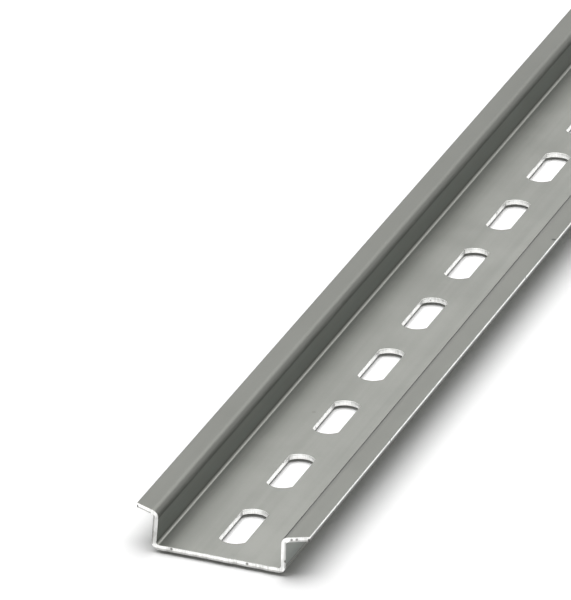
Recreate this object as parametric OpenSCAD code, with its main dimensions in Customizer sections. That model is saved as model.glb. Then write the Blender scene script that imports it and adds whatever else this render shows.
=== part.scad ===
// Slotted top-hat mounting rail: one strip of steel rolled to a hat section, in millimetres.
// +Y runs along the rail, +Z points out of the open channel, and the origin is the centre of the back face.

/* [Section] */
// Width over both lips
rail_width = 35; // [34:0.5:45]
// Width over the outer faces of the channel's walls
hat_width = 27; // [24:0.5:28]
// Height from the back face to the top of the lips
rail_height = 7.5; // [6:0.5:15]
// Thickness of the strip
strip_t = 1; // [0.8:0.1:1.5]
// Inside radius of the bends at the foot of the walls
foot_bend_r = 0.5; // [0.3:0.1:1]
// Inside radius of the bends between the walls and the lips
lip_bend_r = 0.5; // [0.3:0.1:1]

/* [Length] */
// Length of the piece as it is sold
rail_length = 1000; // [100:25:2000]

/* [Slots] */
// Width of each slot
slot_width = 5.2; // [4.2:0.1:6.5]
// Length of each slot from end to end
slot_length = 15; // [10:0.5:20]
// Distance from one slot's centre to the next
slot_pitch = 25; // [22:1:50]
// Distance from the near end to the first slot's centre
slot_end = 14; // [14:0.5:30]
// Least length of whole metal left between the last slot and the far end
end_land = 3; // [2:0.5:10]

/* [Hidden] */
$fn = 96;

steel = [0.62, 0.63, 0.60];
// how far a cutter runs past the faces it cuts
over = 1;

wall_out = hat_width / 2;
wall_in = wall_out - strip_t;
foot_x = wall_in - foot_bend_r;
foot_z = strip_t + foot_bend_r;
lip_x = wall_out + lip_bend_r;
lip_z = rail_height - strip_t - lip_bend_r;

slot_r = slot_width / 2;
slot_straight = slot_length - slot_width;
slot_room = rail_length - slot_end - slot_length / 2 - end_land;
slot_count = floor(slot_room / slot_pitch) + 1;
first_slot = -rail_length / 2 + slot_end;

// A quarter of a ring, as the strip bends: sx and sz say which quarter.
module bend(inner_r, sx, sz) {
    outer_r = inner_r + strip_t;
    intersection() {
        difference() {
            circle(r = outer_r);
            circle(r = inner_r);
        }
        translate([sx < 0 ? -outer_r : 0, sz < 0 ? -outer_r : 0])
            square(outer_r);
    }
}

// The right half of the section: base, foot bend, wall, lip bend, lip.
module half_section() {
    square([foot_x, strip_t]);
    translate([foot_x, foot_z]) bend(foot_bend_r, 1, -1);
    translate([wall_in, foot_z]) square([strip_t, lip_z - foot_z]);
    translate([lip_x, lip_z]) bend(lip_bend_r, -1, 1);
    translate([lip_x, rail_height - strip_t])
        square([rail_width / 2 - lip_x, strip_t]);
}

// One slot's outline, long along Y with half-round ends.
module slot_outline() {
    square([slot_width, slot_straight], center = true);
    for (s = [-1, 1])
        translate([0, s * slot_straight / 2]) circle(r = slot_r);
}

module rail() {
    color(steel)
    difference() {
        rotate([90, 0, 0])
            linear_extrude(height = rail_length, center = true) {
                half_section();
                mirror([1, 0]) half_section();
            }
        for (i = [0 : slot_count - 1])
            translate([0, first_slot + i * slot_pitch, -over])
                linear_extrude(height = strip_t + 2 * over) slot_outline();
    }
}

rail();
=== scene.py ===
"""Dresses the slotted top-hat mounting rail.

The strip is built finely and gets its zinc and its cut steel. It lies in a studio of floor, lamp,
world and camera. Metres throughout: +Y runs along the rail, +Z out of the open channel, and the
origin is the centre of its back face.
"""

import logging
import math
from dataclasses import dataclass, field
from enum import Enum
from typing import Any, Iterable

import bmesh
import bpy
from mathutils import Matrix, Vector, noise


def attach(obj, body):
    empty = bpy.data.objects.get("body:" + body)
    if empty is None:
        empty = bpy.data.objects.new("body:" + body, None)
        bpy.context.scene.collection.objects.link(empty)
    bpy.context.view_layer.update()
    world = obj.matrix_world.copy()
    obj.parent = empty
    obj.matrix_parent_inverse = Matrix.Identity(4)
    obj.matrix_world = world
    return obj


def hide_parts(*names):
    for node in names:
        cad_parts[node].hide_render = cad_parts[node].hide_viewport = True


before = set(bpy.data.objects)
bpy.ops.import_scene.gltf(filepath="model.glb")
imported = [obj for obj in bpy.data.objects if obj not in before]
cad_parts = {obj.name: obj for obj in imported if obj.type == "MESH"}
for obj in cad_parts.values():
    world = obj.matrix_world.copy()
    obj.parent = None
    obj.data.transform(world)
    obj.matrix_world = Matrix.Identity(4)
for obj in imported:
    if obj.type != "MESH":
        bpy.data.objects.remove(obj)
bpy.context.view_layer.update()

log = logging.getLogger("din_rail")

Colour = tuple[float, float, float, float]
Place = tuple[float, float, float]

MM = 0.001
NODE = "rail"
ORIGIN: Place = (0.0, 0.0, 0.0)


class Side(Enum):
    """Which half of the section a strip of metal belongs to."""

    LEFT = -1
    RIGHT = 1


class Skin(Enum):
    """The two looks of the metal, in the order of the mesh's material slots."""

    ZINC = 0
    CUT = 1


# ---------------------------------------------------------------- shader tools


class Socket:
    """A number on its way through a material, which Python's operators turn into Math nodes."""

    def __init__(self, paint: "NodeTree", link: Any) -> None:
        """Keeps the node tree it belongs to and the socket it stands for."""
        self.paint = paint
        self.link = link

    def _math(self, operation: str, *values: Any) -> "Socket":
        """Adds one Math node.

        Args:
            operation: the Math node's operation.
            values: what its inputs take, in order.

        Returns:
            The node's result.
        """
        inputs = dict(enumerate(values))
        return self.paint.node("ShaderNodeMath", {"operation": operation}, inputs)

    def __add__(self, other: Any) -> "Socket":
        """self + other."""
        return self._math("ADD", self, other)

    __radd__ = __add__

    def __sub__(self, other: Any) -> "Socket":
        """self - other."""
        return self._math("SUBTRACT", self, other)

    def __rsub__(self, other: Any) -> "Socket":
        """other - self."""
        return self._math("SUBTRACT", other, self)

    def __mul__(self, other: Any) -> "Socket":
        """self * other."""
        return self._math("MULTIPLY", self, other)

    __rmul__ = __mul__

    def __abs__(self) -> "Socket":
        """The size of self without its sign."""
        return self._math("ABSOLUTE", self)

    def ramp(self, low: float, high: float, start: float = 0.0, end: float = 1.0) -> "Socket":
        """Maps low..high smoothly to start..end and holds it there outside.

        Args:
            low: the value that gives start.
            high: the value that gives end.
            start: the result at low.
            end: the result at high.

        Returns:
            The mapped value.
        """
        settings = {"interpolation_type": "SMOOTHSTEP"}
        inputs = {"Value": self, "From Min": low, "From Max": high, "To Min": start, "To Max": end}
        return self.paint.node("ShaderNodeMapRange", settings, inputs)


class NodeTree:
    """A node tree under construction, of a material or of the world."""

    def __init__(self, tree: bpy.types.NodeTree) -> None:
        """Empties the tree."""
        self.tree = tree
        self.tree.nodes.clear()

    def node(
        self,
        kind: str,
        settings: dict[str, Any] | None = None,
        inputs: dict[Any, Any] | None = None,
        output: Any = 0,
    ) -> Socket:
        """Adds any node.

        Args:
            kind: the node's type.
            settings: its own settings, made before its inputs.
            inputs: values or links, by the input's name or number.
            output: the name or number of the output that is handed back.

        Returns:
            That output.
        """
        made = self.tree.nodes.new(kind)
        for key, value in (settings or {}).items():
            setattr(made, key, value)
        for key, value in (inputs or {}).items():
            if isinstance(value, Socket):
                self.tree.links.new(value.link, made.inputs[key])
            else:
                made.inputs[key].default_value = value
        outputs = made.outputs
        return Socket(self, outputs[output] if len(outputs) else made)

    def path(self, output: str) -> Socket:
        """One output of the Light Path node."""
        return self.node("ShaderNodeLightPath", output=output)

    def seen(self) -> Socket:
        """Picks out the rays that look at the surroundings.

        Returns:
            1 for rays from the camera, off metal or through glass, else 0.
        """
        camera = self.path("Is Camera Ray")
        glossy = self.path("Is Glossy Ray")
        transmission = self.path("Is Transmission Ray")
        return (camera + glossy + transmission).ramp(0.0, 1.0)


class Paint(NodeTree):
    """A material under construction."""

    def __init__(self, name: str) -> None:
        """Starts an empty node material.

        Args:
            name: the material's name.
        """
        self.material = bpy.data.materials.new(name)
        self.material.use_nodes = True
        super().__init__(self.material.node_tree)
        self.place = self.node("ShaderNodeTexCoord", output="Object")

    def axis(self, letter: str) -> Socket:
        """The object's own coordinate along X, Y or Z."""
        return self.node("ShaderNodeSeparateXYZ", inputs={0: self.place}, output=letter)

    def distance(self, point: Place) -> Socket:
        """How far a place on the object is from a point, in metres."""
        inputs = {0: self.place, 1: point}
        return self.node("ShaderNodeVectorMath", {"operation": "DISTANCE"}, inputs, output="Value")

    def cells(self, size: float) -> Socket:
        """Scatters points and measures how far the nearest one is.

        Args:
            size: how many cells, each with its point, there are in a metre.

        Returns:
            The distance, in cells.
        """
        settings = {"feature": "F1", "distance": "EUCLIDEAN"}
        inputs = {"Vector": self.place, "Scale": size, "Randomness": 1.0}
        return self.node("ShaderNodeTexVoronoi", settings, inputs, output="Distance")

    def blend(self, share: Socket, a: Any, b: Any) -> Socket:
        """Mixes two colours.

        Args:
            share: how much of b there is, from 0 to 1.
            a: the first colour.
            b: the second colour.

        Returns:
            The mixed colour.
        """
        settings = {"data_type": "RGBA", "blend_type": "MIX", "clamp_factor": True}
        return self.node("ShaderNodeMix", settings, {0: share, 6: a, 7: b}, output=2)

    def mix(self, share: Socket, a: Socket, b: Socket) -> Socket:
        """Mixes two shaders, with share of the second one."""
        return self.node("ShaderNodeMixShader", inputs={0: share, 1: a, 2: b})

    def add(self, a: Socket, b: Socket) -> Socket:
        """Adds two shaders."""
        return self.node("ShaderNodeAddShader", inputs={0: a, 1: b})

    def matt(self, level: float) -> Socket:
        """A grey diffuse shader of that level."""
        return self.node("ShaderNodeBsdfDiffuse", inputs={"Color": rgb(level, level, level)})

    def bump(self, height: Socket, strength: float, distance: float) -> Socket:
        """A surface normal that follows height, by distance metres at strength 1."""
        inputs = {"Height": height, "Strength": strength, "Distance": distance}
        return self.node("ShaderNodeBump", inputs=inputs)

    def metal(self, colour: Socket, rough: Socket, share: float, normal: Socket) -> Socket:
        """The Principled shader of a metal.

        Args:
            colour: its base colour.
            rough: its roughness.
            share: how metallic it is.
            normal: its surface normal.

        Returns:
            The shader.
        """
        inputs = {"Base Color": colour, "Roughness": rough, "Metallic": share, "Normal": normal}
        return self.node("ShaderNodeBsdfPrincipled", inputs=inputs)

    def output(self, shader: Socket) -> bpy.types.Material:
        """Ends the material in that shader and hands it back."""
        self.node("ShaderNodeOutputMaterial", inputs={"Surface": shader})
        return self.material


@dataclass(frozen=True)
class Fade:
    """A smooth step of a value, from start at low to end at high."""

    low: float
    high: float
    start: float = 0.0
    end: float = 1.0

    def on(self, value: Socket) -> Socket:
        """The step, read from that value."""
        return value.ramp(self.low, self.high, self.start, self.end)


@dataclass(frozen=True)
class Band:
    """A stripe with soft edges: 0, then 1 between its two fades, then 0 again."""

    fade_in: Fade
    fade_out: Fade

    def on(self, value: Socket) -> Socket:
        """The stripe, read from that value."""
        return self.fade_in.on(value) - self.fade_out.on(value)


@dataclass(frozen=True)
class Clouds:
    """Soft noise from 0 to 1.

    size is its features in a metre, detail its finer octaves, rough their strength, and stretch
    scales the coordinates for each axis first.
    """

    size: float
    detail: float
    rough: float
    stretch: Place | None = None

    def on(self, p: Paint) -> Socket:
        """Adds the noise to a material.

        Args:
            p: the material.

        Returns:
            The noise.
        """
        where = p.place
        if self.stretch:
            where = p.node("ShaderNodeMapping", inputs={"Vector": where, "Scale": self.stretch})
        inputs = {
            "Vector": where,
            "Scale": self.size,
            "Detail": self.detail,
            "Roughness": self.rough,
        }
        return p.node("ShaderNodeTexNoise", inputs=inputs)


def weighted(parts: Iterable[tuple[Socket, float]]) -> Socket:
    """Adds values up by weight.

    Args:
        parts: each value with its weight.

    Returns:
        The sum.
    """
    first, *rest = [part * weight for part, weight in parts]
    for part in rest:
        first = first + part
    return first


def rgb(r: float, g: float, b: float) -> Colour:
    """A linear colour with full alpha."""
    return (r, g, b, 1.0)


@dataclass(frozen=True)
class ZincFinish:
    """Bright zinc on rolled steel: satin grey with faint clouds, streaks and a few specks.

    The bands and fades of the section are in metres: across the rail, or up from its back face.
    """

    light: Colour = rgb(0.246, 0.250, 0.232)
    dark: Colour = rgb(0.206, 0.211, 0.194)
    blue: Colour = rgb(0.220, 0.240, 0.224)
    # a grey for the painted shade beside the left wall, and for the darker lips
    shade_and_dull_grey: Colour = rgb(0.140, 0.143, 0.130)
    # painted dark reflection along the start of each bend
    dark_bend_reflection: Colour = rgb(0.085, 0.088, 0.080)
    # near black for the painted dark reflection along the right lip's bend, and for one dark spot
    # on that lip
    dark_reflection_and_spot: Colour = rgb(0.03, 0.031, 0.028)
    # painted highlight in the hollow of the foot
    hollow_highlight: Colour = rgb(0.27, 0.275, 0.255)
    speck: Colour = rgb(0.12, 0.115, 0.10)

    clouds: Clouds = Clouds(55.0, 4.0, 0.6)
    streaks: Clouds = Clouds(1500.0, 3.0, 0.6, (1.0, 0.012, 1.0))
    bands: Clouds = Clouds(260.0, 2.0, 0.5, (1.0, 0.02, 1.0))
    grain: Clouds = Clouds(2600.0, 2.0, 0.6)
    tone_weights: tuple[float, ...] = (0.40, 0.22, 0.26, 0.12)
    tone: Fade = Fade(0.36, 0.64)

    wall: Band = Band(Fade(0.0012, 0.0022), Fade(0.0058, 0.0068))
    wall_share: float = 0.5
    stains: Clouds = Clouds(420.0, 3.0, 0.6, (1.0, 0.35, 1.0))
    stain: Fade = Fade(0.42, 0.62)
    stain_share: float = 0.35

    # painted shade on the base beside the left wall
    wall_shade: Fade = Fade(-0.0118, -0.0050, 1.0, 0.0)
    wall_shade_end: Fade = Fade(0.0119, 0.0121)
    wall_shade_share: float = 0.35

    lips: Fade = Fade(0.0061, 0.0069)
    lips_share: Fade = Fade(-0.001, 0.001, 0.80, 0.62)

    # painted dark reflection where each bend starts, below the lip and above the foot
    below_lip: Band = Band(Fade(0.0056, 0.0060), Fade(0.0061, 0.0066))
    below_share: float = 0.75
    above_foot: Band = Band(Fade(0.0014, 0.0015), Fade(0.0016, 0.0019))
    above_share: float = 0.5
    # painted dark reflection along the top of the right lip's bend
    right_bend: Band = Band(Fade(0.0125, 0.0126), Fade(0.0131, 0.0134))
    right_top: Fade = Fade(0.0066, 0.0068)

    # painted highlight in the hollow of the foot
    hollow: Fade = Fade(0.01195, 0.01215)
    hollow_top: Fade = Fade(0.00130, 0.00150)
    hollow_share: float = 0.8

    spot: Place = (0.01697, -0.3576, 0.0075)
    spot_edge: Fade = Fade(0.00025, 0.00055, 1.0, 0.0)
    spot_share: float = 0.9

    speck_cells: float = 130.0
    speck_edge: Fade = Fade(0.045, 0.075, 1.0, 0.0)
    speck_places: Clouds = Clouds(70.0, 1.0, 0.5)
    speck_rarity: Fade = Fade(0.66, 0.70)
    speck_share: float = 0.3

    rough_weights: tuple[float, ...] = (0.10, 0.10, 0.06)
    rough_least: float = 0.26
    relief_weights: tuple[float, ...] = (0.6, 0.4)
    relief: float = 0.22
    relief_depth: float = 0.00004
    metallic: float = 0.92

    def mark_section(self, p: Paint, colour: Socket) -> Socket:
        """Lays the marks, the painted shade, the painted dark reflections and the painted
        highlight that follow the section over the plain zinc.

        Args:
            p: the material.
            colour: the plain zinc's colour.

        Returns:
            The marked colour.
        """
        up, across = p.axis("Z"), p.axis("X")
        # the walls of the channel carry bluer stains
        stain = self.stain.on(self.stains.on(p))
        share = self.wall.on(up) * (stain * self.stain_share + self.wall_share)
        colour = p.blend(share, colour, self.blue)
        # painted shade: the base is darker beside the left wall, where the wall shades it
        wall_shade = (self.wall_shade.on(across) - self.wall_shade_end.on(abs(across))).ramp(0.0, 1.0)
        colour = p.blend(wall_shade * self.wall_shade_share, colour, self.shade_and_dull_grey)
        # the lips are duller than the base, the left one the more so
        colour = p.blend(self.lips.on(up) * self.lips_share.on(across), colour, self.shade_and_dull_grey)
        # painted dark reflections: a dark line runs where each bend starts
        below = self.below_lip.on(up) * self.below_share
        dark_bend_reflection = below + self.above_foot.on(up) * self.above_share
        colour = p.blend(dark_bend_reflection, colour, self.dark_bend_reflection)
        # painted dark reflection: a darker line along the top of the right lip's bend
        dark_reflection_and_spot = self.right_bend.on(across) * self.right_top.on(up)
        colour = p.blend(dark_reflection_and_spot, colour, self.dark_reflection_and_spot)
        # painted highlight: the hollow of the foot is brighter
        hollow = (self.hollow.on(abs(across)) - self.hollow_top.on(up)).ramp(0.0, 1.0)
        return p.blend(hollow * self.hollow_share, colour, self.hollow_highlight)

    def build(self) -> bpy.types.Material:
        """Makes the material.

        Returns:
            The material.
        """
        p = Paint("zinc_steel")
        clouds, streaks = self.clouds.on(p), self.streaks.on(p)
        bands, grain = self.bands.on(p), self.grain.on(p)
        tone = weighted(zip((clouds, streaks, bands, grain), self.tone_weights))
        colour = p.blend(self.tone.on(tone), self.dark, self.light)
        colour = self.mark_section(p, colour)
        # one small dark spot on the right lip, and rare specks everywhere
        spot = self.spot_edge.on(p.distance(self.spot)) * self.spot_share
        colour = p.blend(spot, colour, self.dark_reflection_and_spot)
        rare = self.speck_rarity.on(self.speck_places.on(p))
        specks = self.speck_edge.on(p.cells(self.speck_cells)) * rare * self.speck_share
        colour = p.blend(specks, colour, self.speck)
        rough = weighted(zip((clouds, streaks, grain), self.rough_weights)) + self.rough_least
        height = weighted(zip((streaks, grain), self.relief_weights))
        normal = p.bump(height, self.relief, self.relief_depth)
        return p.output(p.metal(colour, rough, self.metallic, normal))


@dataclass(frozen=True)
class CutFinish:
    """Bare steel where the strip was slit, punched or sheared: pale and bright, scored and pitted.

    The bands and fades of the section are in metres: across the rail, along it, or up from its
    back face.
    """

    light: Colour = rgb(0.90, 0.90, 0.885)
    dark: Colour = rgb(0.62, 0.62, 0.605)
    dark_cut: Colour = rgb(0.06, 0.06, 0.055)
    pit: Colour = rgb(0.06, 0.055, 0.05)

    scores: Clouds = Clouds(2600.0, 3.0, 0.6, (1.0, 1.0, 0.15))
    patches: Clouds = Clouds(420.0, 2.0, 0.5)
    tone_weights: tuple[float, ...] = (0.5, 0.5)
    tone: Fade = Fade(0.34, 0.58)

    slit_side: Fade = Fade(0.0171, 0.0173)
    slit_band: Band = Band(Fade(0.0061, 0.0063), Fade(0.0070, 0.0071))
    slit_share: float = 0.95

    base_low: Fade = Fade(0.00030, 0.00045, 1.0, 0.0)
    base_reach: Fade = Fade(-0.497, -0.495, 1.0, 0.15)
    wall_outer: Fade = Fade(0.01312, 0.01326)
    wall_band: Band = Band(Fade(0.0008, 0.0012), Fade(0.0062, 0.0066))
    lip_side: Fade = Fade(0.0139, 0.0143)
    lip_under: Band = Band(Fade(0.0060, 0.0062), Fade(0.00675, 0.00690))
    back_share: float = 0.5

    left_wall: Fade = Fade(-0.0126, -0.0124, 1.0, 0.0)
    left_band: Band = Band(Fade(0.0009, 0.0014), Fade(0.0058, 0.0066))
    left_share: float = 0.30

    nicks: tuple[Place, ...] = (
        (-0.00948, -0.49905, 0.00067),
        (0.00579, -0.4996, 0.00061),
        (0.01453, -0.4995, 0.00697),
        (0.01540, -0.4991, 0.00699),
    )
    nick_edge: Fade = Fade(0.00012, 0.00040, 1.0, 0.0)
    nick_share: float = 0.85

    pit_cells: float = 420.0
    pit_edge: Fade = Fade(0.08, 0.14, 1.0, 0.0)
    pit_places: Clouds = Clouds(240.0, 1.0, 0.5)
    pit_rarity: Fade = Fade(0.52, 0.56)
    pit_share: float = 0.8

    rough_weight: float = 0.2
    rough_least: float = 0.30
    relief: float = 0.35
    relief_depth: float = 0.00008
    metallic: float = 0.95

    def mark_section(self, p: Paint, colour: Socket) -> Socket:
        """Lays the greyer parts of the cut over the bright steel.

        Args:
            p: the material.
            colour: the bright steel's colour.

        Returns:
            The marked colour.
        """
        up, across, along = p.axis("Z"), p.axis("X"), p.axis("Y")
        # the lower part of the lips' slit edges is dark
        dark_cut = self.slit_side.on(abs(across)) * self.slit_band.on(up)
        colour = p.blend(dark_cut * self.slit_share, colour, self.dark_cut)
        # towards the back of the strip the cut is greyer
        low = self.base_low.on(up) * self.base_reach.on(along)
        outer = self.wall_outer.on(abs(across)) * self.wall_band.on(up)
        under = self.lip_side.on(abs(across)) * self.lip_under.on(up)
        colour = p.blend((low + outer + under) * self.back_share, colour, self.dark_cut)
        # and so is the cut of the left wall, over its whole height
        left = self.left_wall.on(across) * self.left_band.on(up)
        return p.blend(left * self.left_share, colour, self.dark_cut)

    def build(self) -> bpy.types.Material:
        """Makes the material.

        Returns:
            The material.
        """
        p = Paint("cut_steel")
        scores, patches = self.scores.on(p), self.patches.on(p)
        tone = self.tone.on(weighted(zip((scores, patches), self.tone_weights)))
        colour = self.mark_section(p, p.blend(tone, self.dark, self.light))
        for nick in self.nicks:
            share = self.nick_edge.on(p.distance(nick)) * self.nick_share
            colour = p.blend(share, colour, self.pit)
        few = self.pit_rarity.on(self.pit_places.on(p))
        pits = self.pit_edge.on(p.cells(self.pit_cells)) * few * self.pit_share
        colour = p.blend(pits, colour, self.pit)
        rough = patches * self.rough_weight + self.rough_least
        normal = p.bump(scores, self.relief, self.relief_depth)
        return p.output(p.metal(colour, rough, self.metallic, normal))


# ---------------------------------------------------------------------- the rail


def with_parts(faces: Iterable[bmesh.types.BMFace]) -> list[Any]:
    """Gathers faces with what they are made of, as a cut takes them.

    Args:
        faces: the faces.

    Returns:
        The faces, their edges and their vertices.
    """
    faces = list(faces)
    edges, verts = {e for f in faces for e in f.edges}, {v for f in faces for v in f.verts}
    return faces + list(edges) + list(verts)


def verts_of(geom: Iterable[Any]) -> list[bmesh.types.BMVert]:
    """The vertices among what an operator hands back."""
    return [g for g in geom if isinstance(g, bmesh.types.BMVert)]


def edges_of(geom: Iterable[Any]) -> list[bmesh.types.BMEdge]:
    """The edges among what an operator hands back."""
    return [g for g in geom if isinstance(g, bmesh.types.BMEdge)]


@dataclass(frozen=True)
class Lean:
    """How far one side's end leans back, in millimetres: up the wall, and out along the lip."""

    wall: float
    lip: float


@dataclass(frozen=True)
class Rounding:
    """How one side's cut edges are rounded: the channel side's or the back's."""

    channel_side: bool
    offset: float
    segments: int


@dataclass
class SlottedRail:
    """One strip of steel rolled to a hat section, punched with slots and sheared to length.

    Lengths are in metres, but cut_depths and the two leans are in millimetres. ragged_sizes is
    the unevenness of the sheared edge, in features per metre.
    """

    width: float = 35 * MM
    hat: float = 27 * MM
    height: float = 7.5 * MM
    gauge: float = 1 * MM
    foot_r: float = 0.5 * MM
    lip_r: float = 0.5 * MM
    length: float = 1000 * MM
    slot_width: float = 5.2 * MM
    slot_length: float = 15 * MM
    slot_end_r: float = 3.1 * MM
    pitch: float = 25 * MM
    first_slot: float = 14 * MM
    slots: int = 40

    slot_points: int = 40
    side_rows: int = 3
    support: float = 0.15 * MM
    bend_steps: int = 8
    touch: float = 0.01 * MM
    sheet_touch: float = 0.005 * MM
    sliver: float = 0.0005 * MM

    cut_depths: tuple[float, ...] = (0.12, 0.3, 0.7, 1.5, 3.0, 5.0, 8.0)
    cut_reach: float = 12 * MM
    columns: int = 30
    column_reach: float = 1.5 * MM

    shear_reach: float = 8 * MM
    base_lean: float = 0.95 * MM
    wall_foot: float = 1.8 * MM
    wall_rise: float = 5.0 * MM
    left: Lean = Lean(wall=1.15, lip=1.9)
    right: Lean = Lean(wall=0.15, lip=1.7)
    lip_flare: float = 1.2
    ragged_depth: float = 0.32 * MM
    ragged_mean: float = 0.5
    ragged_share: float = 0.35
    ragged_sizes: tuple[float, ...] = (650, 1700)
    ragged_fall: int = 6

    level: float = 0.9
    steep: float = 0.5
    slit_steep: float = 0.7
    slit_margin: float = 0.6 * MM
    roundings: tuple[Rounding, ...] = (Rounding(True, 0.24 * MM, 3), Rounding(False, 0.05 * MM, 1))
    smooth_angle: float = math.radians(40)
    flat_weight: int = 80

    mesh: bmesh.types.BMesh = field(default_factory=bmesh.new)

    @property
    def near(self) -> float:
        """Where the near end lies along Y."""
        return -self.length / 2

    @property
    def foot_x(self) -> float:
        """Where the flat base ends and the foot's bend begins."""
        return self.hat / 2 - self.gauge - self.foot_r

    @property
    def lip_x(self) -> float:
        """Where the lip's bend ends and the flat lip begins."""
        return self.hat / 2 + self.lip_r

    @property
    def foot_z(self) -> float:
        """Where the foot's bend ends and the flat wall begins."""
        return self.gauge + self.foot_r

    @property
    def lip_z(self) -> float:
        """Where the flat wall ends and the lip's bend begins."""
        return self.height - self.gauge - self.lip_r

    def slot_cell(self) -> None:
        """Makes one pitch of the flat base: a slot's outline, and faces out to the cell's edge."""
        bm = self.mesh
        half = math.pi / self.slot_points
        made = bmesh.ops.create_circle(bm, cap_ends=False, segments=self.slot_points, radius=1.0)
        turn = Matrix.Rotation(half, 3, "Z")
        bmesh.ops.rotate(bm, cent=(0, 0, 0), matrix=turn, verts=made["verts"])
        reach = math.cos(half)
        edge_x = self.foot_x - self.support
        crown = self.slot_length / 2 - self.slot_end_r
        rim: dict[bmesh.types.BMVert, Vector] = {}
        for v in made["verts"]:
            t, up = v.co.x / reach, math.copysign(1.0, v.co.y)
            steps = round((math.acos(min(1.0, abs(t) * reach)) - half) / (2 * half))
            x = t * self.slot_width / 2
            v.co = Vector((x, up * (crown + math.sqrt(self.slot_end_r**2 - x**2)), self.gauge))
            # the outline's points lie half a step off both axes
            if steps <= self.side_rows:
                share = (steps + 0.5) / (self.side_rows + 0.5)
                place = (math.copysign(edge_x, t), up * share * self.pitch / 2, self.gauge)
            else:
                left = self.slot_points / 4 - self.side_rows - 0.5
                share = 1 - (steps - self.side_rows) / left
                place = (math.copysign(edge_x * share, t), up * self.pitch / 2, self.gauge)
            rim[v] = Vector(place)
        partner = {v.co.copy().freeze(): target for v, target in rim.items()}
        grown = bmesh.ops.extrude_edge_only(bm, edges=list(bm.edges))
        for v in verts_of(grown["geom"]):
            v.co = partner[v.co.copy().freeze()]

    def repeat_cell(self) -> None:
        """Copies the cell to every slot, joins the copies, and fits the base to the two ends."""
        bm = self.mesh
        cell = list(bm.verts) + list(bm.edges) + list(bm.faces)
        start = self.near + self.first_slot
        for i in range(1, self.slots):
            copy = bmesh.ops.duplicate(bm, geom=cell)["geom"]
            bmesh.ops.translate(bm, verts=verts_of(copy), vec=(0, i * self.pitch + start, 0))
        bmesh.ops.translate(bm, verts=verts_of(cell), vec=(0, start, 0))
        bmesh.ops.remove_doubles(bm, verts=bm.verts, dist=self.touch)
        border = start - self.pitch / 2
        self.extrude(self.border_row(1, border), (0, self.near - border, 0))
        everything = list(bm.verts) + list(bm.edges) + list(bm.faces)
        far = (0, -self.near, 0)
        bmesh.ops.bisect_plane(
            bm, geom=everything, plane_co=far, plane_no=(0, 1, 0), clear_outer=True
        )

    def border_row(self, axis: int, place: float) -> list[bmesh.types.BMEdge]:
        """Finds the open edges that lie at one place.

        Args:
            axis: 0 for across the rail, 1 for along it.
            place: where they lie on that axis.

        Returns:
            The edges.
        """
        open_edges = (e for e in self.mesh.edges if e.is_boundary)
        return [
            e for e in open_edges if all(abs(v.co[axis] - place) < self.touch for v in e.verts)
        ]

    def extrude(
        self, edges: Iterable[bmesh.types.BMEdge], step: Place
    ) -> list[bmesh.types.BMEdge]:
        """Grows faces from a row of edges.

        Args:
            edges: the row they start from.
            step: how far the new row lies from it.

        Returns:
            The new row.
        """
        grown = bmesh.ops.extrude_edge_only(self.mesh, edges=list(edges))["geom"]
        verts = verts_of(grown)
        bmesh.ops.translate(self.mesh, verts=verts, vec=step)
        return [e for e in edges_of(grown) if e.is_boundary and all(v in verts for v in e.verts)]

    def roll_side(self, side: Side) -> None:
        """Rolls one half of the section up from the base: foot bend, wall, lip bend and lip.

        Args:
            side: which half.
        """
        s, margin = side.value, self.support
        row = self.border_row(0, s * (self.foot_x - margin))
        row = self.extrude(row, (s * margin, 0, 0))
        row = self.bend(row, (s * self.foot_x, 0, self.foot_z), -s * math.pi / 2)
        rise = self.height - 2 * self.gauge - self.foot_r - self.lip_r
        for share in (margin, rise - 2 * margin, margin):
            row = self.extrude(row, (0, 0, share))
        row = self.bend(row, (s * self.lip_x, 0, self.lip_z), s * math.pi / 2)
        run = self.width / 2 - self.hat / 2 - self.lip_r
        for share in (margin, run - 3 * margin, 2 * margin):
            row = self.extrude(row, (s * share, 0, 0))

    def bend(
        self, row: list[bmesh.types.BMEdge], centre: Place, angle: float
    ) -> list[bmesh.types.BMEdge]:
        """Spins a row of edges through a bend about an axis along the rail.

        Args:
            row: the edges it starts from.
            centre: a point on the bend's axis.
            angle: how far it turns, in radians.

        Returns:
            The row at the bend's end.
        """
        verts = list({v for e in row for v in e.verts})
        spun = bmesh.ops.spin(
            self.mesh,
            geom=verts + row,
            cent=centre,
            axis=(0, 1, 0),
            angle=angle,
            steps=self.bend_steps,
        )
        return edges_of(spun["geom_last"])

    def cut_rows(self) -> None:
        """Adds vertices close to the near end, for the sheared shape there."""
        bm = self.mesh
        for depth in self.cut_depths:
            limit = self.near + self.cut_reach
            faces = [f for f in bm.faces if f.calc_center_median().y < limit]
            place = (0, self.near + depth * MM, 0)
            bmesh.ops.bisect_plane(bm, geom=with_parts(faces), plane_co=place, plane_no=(0, 1, 0))
        for i in range(1, self.columns):
            x = (2 * i / self.columns - 1) * self.foot_x
            faces = [f for f in bm.faces if self.on_base_end(f)]
            bmesh.ops.bisect_plane(
                bm, geom=with_parts(faces), plane_co=(x, 0, 0), plane_no=(1, 0, 0)
            )

    def on_base_end(self, face: bmesh.types.BMFace) -> bool:
        """Tells whether a face lies in the flat base, right at the near end.

        Args:
            face: the face.

        Returns:
            True if it does.
        """
        middle = face.calc_center_median()
        at_end = middle.y < self.near + self.column_reach
        return at_end and abs(face.normal.z) > self.level and abs(middle.x) < self.foot_x

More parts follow.
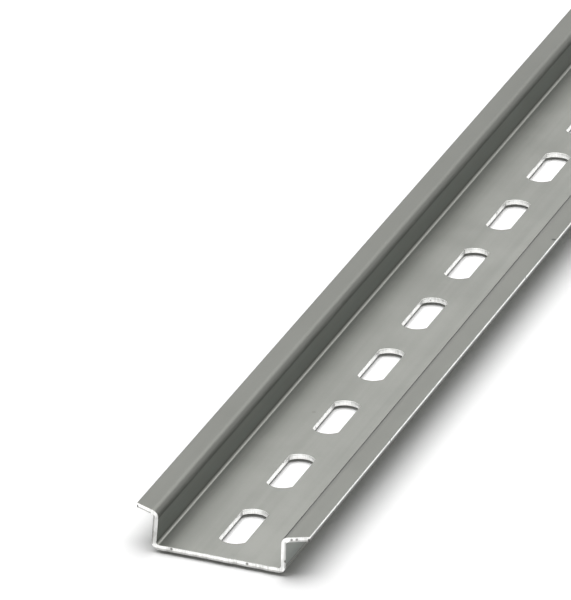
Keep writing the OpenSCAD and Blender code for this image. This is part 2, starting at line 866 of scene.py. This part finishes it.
    def setback(self, x: float, z: float) -> float:
        """How far the shear left the near end back from square at a place on the section.

        Args:
            x: place across the rail, in metres.
            z: height above the back face, in metres.

        Returns:
            The set-back in metres.
        """
        lean = self.left if x < 0 else self.right
        across = min(1.0, max(0.0, (x + self.foot_x) / (2 * self.foot_x)))
        lift = min(1.0, max(0.0, (z - self.wall_foot) / self.wall_rise))
        out = max(0.0, (abs(x) - self.hat / 2) / (self.width / 2 - self.hat / 2))
        base = self.base_lean * (1 - across)
        return base + lift * lean.wall * MM + out**self.lip_flare * lean.lip * MM

    def shear_end(self) -> None:
        """Drags the near end out of square, and leaves its edge slightly ragged."""
        for v in self.mesh.verts:
            depth = v.co.y - self.near
            if depth > self.shear_reach:
                continue
            share = 1 - depth / self.shear_reach
            share = share * share * (3 - 2 * share)
            place = Vector((v.co.x, 0, v.co.z))
            ragged = self.ragged_mean
            for size in self.ragged_sizes:
                ragged += self.ragged_share * noise.noise(place * size)
            back = self.setback(v.co.x, v.co.z)
            back += self.ragged_depth * max(0.0, ragged) * share**self.ragged_fall
            v.co.y += back * share

    def through(self, place: Vector) -> Vector:
        """The way through the strip from a point on its channel side to its back.

        Args:
            place: the point.

        Returns:
            A vector as long as the strip is thick.
        """
        reach = abs(place.x)
        if place.z < self.foot_z and reach > self.foot_x:
            way = Vector((reach - self.foot_x, 0, place.z - self.foot_z))
        elif place.z > self.lip_z and reach < self.lip_x:
            way = Vector((self.lip_x - reach, 0, self.lip_z - place.z))
        elif place.z < self.foot_z or reach >= self.lip_x:
            way = Vector((0, 0, -1))
        else:
            way = Vector((1, 0, 0))
        way.x *= math.copysign(1.0, place.x)
        return way.normalized() * self.gauge

    def is_cut(self, face: bmesh.types.BMFace) -> bool:
        """Tells whether a face was left by the punch, the slitting knife or the shear.

        Args:
            face: the face.

        Returns:
            True if it was.
        """
        middle, normal = face.calc_center_median(), face.normal
        in_slot = abs(middle.x) < self.slot_width and middle.z < self.gauge
        at_slit = abs(middle.x) > self.width / 2 - self.slit_margin
        punched = abs(normal.z) < self.steep and in_slot
        slit = abs(normal.x) > self.slit_steep and at_slit
        return punched or slit or abs(normal.y) > self.steep

    def thicken(self) -> None:
        """Gives the sheet the strip's thickness, down and outwards, and marks the cut faces."""
        bm = self.mesh
        bmesh.ops.remove_doubles(bm, verts=bm.verts, dist=self.sheet_touch)
        made = bmesh.ops.extrude_face_region(bm, geom=list(bm.faces), use_keep_orig=True)["geom"]
        for v in verts_of(made):
            v.co += self.through(v.co)
        bmesh.ops.recalc_face_normals(bm, faces=bm.faces)
        for f in bm.faces:
            f.material_index = (Skin.CUT if self.is_cut(f) else Skin.ZINC).value
            f.smooth = True

    def cut_edges(self, channel_side: bool) -> list[bmesh.types.BMEdge]:
        """Finds the edges between a cut face and the zinc.

        Args:
            channel_side: whether to take the edges above the cut face's middle or those below it.

        Returns:
            The edges.
        """
        found = []
        for e in self.mesh.edges:
            if len({f.material_index for f in e.link_faces}) != 2:
                continue
            cut = next(f for f in e.link_faces if f.material_index == Skin.CUT.value)
            height = (e.verts[0].co.z + e.verts[1].co.z) / 2
            if (height > cut.calc_center_median().z) == channel_side:
                found.append(e)
        return found

    def soften_edges(self) -> None:
        """Rounds the edges that the punch, the slitting knife and the shear left."""
        for rounding in self.roundings:
            bmesh.ops.bevel(
                self.mesh,
                geom=self.cut_edges(rounding.channel_side),
                offset=rounding.offset,
                offset_type="OFFSET",
                segments=rounding.segments,
                profile=0.5,
                affect="EDGES",
                clamp_overlap=True,
                material=-1,
            )
        bmesh.ops.dissolve_degenerate(self.mesh, dist=self.sliver, edges=self.mesh.edges)

    def build(self, skins: list[bpy.types.Material]) -> bpy.types.Object:
        """Makes the whole rail.

        Args:
            skins: its materials, in the order of Skin.

        Returns:
            The finished object.
        """
        self.slot_cell()
        self.repeat_cell()
        for side in Side:
            self.roll_side(side)
        self.cut_rows()
        self.shear_end()
        self.thicken()
        self.soften_edges()
        data = bpy.data.meshes.new("rail_strip")
        self.mesh.to_mesh(data)
        self.mesh.free()
        for skin in skins:
            data.materials.append(skin)
        data.set_sharp_from_angle(angle=self.smooth_angle)
        piece = bpy.data.objects.new("rail_strip", data)
        flats = piece.modifiers.new("flat faces stay flat", "WEIGHTED_NORMAL")
        flats.mode, flats.weight, flats.keep_sharp = "FACE_AREA", self.flat_weight, True
        bpy.context.scene.collection.objects.link(piece)
        return piece


# -------------------------------------------------------------------- the studio


@dataclass(frozen=True)
class Lamp:
    """A square soft lamp.

    turn is its direction round the rail and rise its height above the horizon, both in degrees
    and given as the camera's are. reach and size are in metres, and power is in watts.
    """

    name: str
    turn: float
    rise: float
    reach: float
    size: float
    power: float


@dataclass
class Studio:
    """The pale floor, the soft lamp, the world and the camera."""

    floor_size: float = 30.0
    floor_drop: float = 0.6 * MM
    floor_level: float = 0.92
    seen_coat: float = 0.30
    mirror_fill: float = 0.25
    white_away: Fade = Fade(0.6, 0.9)
    sky_level: float = 0.12
    seen_sky: float = 0.88

    key: Lamp = Lamp("key", turn=-160.0, rise=71.0, reach=2.4, size=3.2, power=78.0)

    camera_turn: float = 20.493
    camera_rise: float = 25.032
    camera_roll: float = -0.078
    camera_reach: float = 1.69115
    camera_clip: tuple[float, float] = (0.05, 60.0)
    aim: Place = (-0.02847, -0.38788, 0.0)
    sensor: float = 36.0
    lens: float = 514.2

    @staticmethod
    def direction(turn: float, rise: float) -> Vector:
        """The unit vector out to a place round the rail, from angles in degrees."""
        a, e = math.radians(turn), math.radians(rise)
        return Vector((math.sin(a) * math.cos(e), -math.cos(a) * math.cos(e), math.sin(e)))

    def floor_paint(self) -> bpy.types.Material:
        """Makes the floor's material.

        Returns:
            The material.
        """
        p = Paint("pale_floor")
        white, black = p.matt(1), p.matt(0)
        glow = p.node("ShaderNodeEmission", inputs={"Color": rgb(1, 1, 1), "Strength": 1.0})
        # a second, fainter coat only shows where the floor is looked at
        coat = p.mix(p.seen() * self.seen_coat, black, white)
        lit = p.add(p.matt(self.floor_level), coat)
        # the metal's underside, close above the floor, would otherwise mirror only its shadow
        fill = p.mix(p.path("Is Glossy Ray") * self.mirror_fill, black, glow)
        lit = p.add(lit, fill)
        # away from the rail the floor is as white as the world
        away = self.white_away.on(p.distance(ORIGIN))
        lit = p.mix(away * p.seen(), lit, glow)
        # from below it is clear
        under = p.node("ShaderNodeNewGeometry", output="Backfacing")
        return p.output(p.mix(under, lit, p.node("ShaderNodeBsdfTransparent")))

    def floor(self) -> bpy.types.Object:
        """Lays the pale floor.

        Returns:
            The floor.
        """
        bm = bmesh.new()
        bmesh.ops.create_grid(bm, x_segments=2, y_segments=2, size=self.floor_size / 2)
        bmesh.ops.translate(bm, verts=bm.verts, vec=(0, 0, -self.floor_drop))
        data = bpy.data.meshes.new("floor")
        bm.to_mesh(data)
        bm.free()
        data.materials.append(self.floor_paint())
        piece = bpy.data.objects.new("floor", data)
        bpy.context.scene.collection.objects.link(piece)
        return piece

    def world(self) -> None:
        """White where it is looked at, and a plain grey light elsewhere."""
        world = bpy.data.worlds.new("studio")
        world.use_nodes = True
        p = NodeTree(world.node_tree)
        level = p.seen() * self.seen_sky + self.sky_level
        inputs = {"Color": rgb(1, 1, 1), "Strength": level}
        sky = p.node("ShaderNodeBackground", inputs=inputs)
        p.node("ShaderNodeOutputWorld", inputs={"Surface": sky})
        bpy.context.scene.world = world

    def hang(self, lamp: Lamp) -> None:
        """Hangs a lamp so that it faces the camera's aim.

        Args:
            lamp: the lamp.
        """
        data = bpy.data.lights.new(lamp.name, "AREA")
        data.shape, data.size, data.energy = "SQUARE", lamp.size, lamp.power
        hung = bpy.data.objects.new(lamp.name, data)
        back = self.direction(lamp.turn, lamp.rise)
        hung.location = Vector(self.aim) + back * lamp.reach
        hung.rotation_euler = (-back).to_track_quat("-Z", "Y").to_euler()
        bpy.context.scene.collection.objects.link(hung)

    def camera(self) -> None:
        """Sets the camera up and makes it the scene's own."""
        data = bpy.data.cameras.new("camera")
        data.sensor_width = self.sensor
        data.lens = self.lens
        data.clip_start, data.clip_end = self.camera_clip
        back = self.direction(self.camera_turn, self.camera_rise)
        right = (-back).cross(Vector((0, 0, 1))).normalized()
        up = right.cross(-back).normalized()
        roll = math.radians(self.camera_roll)
        x = math.cos(roll) * right - math.sin(roll) * up
        y = math.sin(roll) * right + math.cos(roll) * up
        place = Matrix((x, y, back)).transposed().to_4x4()
        place.translation = Vector(self.aim) + back * self.camera_reach
        camera = bpy.data.objects.new("camera", data)
        camera.matrix_world = place
        bpy.context.scene.collection.objects.link(camera)
        bpy.context.scene.camera = camera

    def build(self) -> None:
        """Makes all of it."""
        self.floor()
        self.world()
        self.hang(self.key)
        self.camera()


def main() -> None:
    """Builds the rail and the studio."""
    logging.basicConfig(level=logging.INFO, format="%(name)s: %(message)s")
    skins = [ZincFinish().build(), CutFinish().build()]
    rail = SlottedRail().build(skins)
    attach(rail, "root")
    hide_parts(NODE)
    log.info("%s: %d faces", rail.name, len(rail.data.polygons))
    Studio().build()
    log.info("studio: floor, lamp, world and camera")
    bpy.context.scene.view_settings.view_transform = "Standard"


if __name__ == "__main__":
    main()
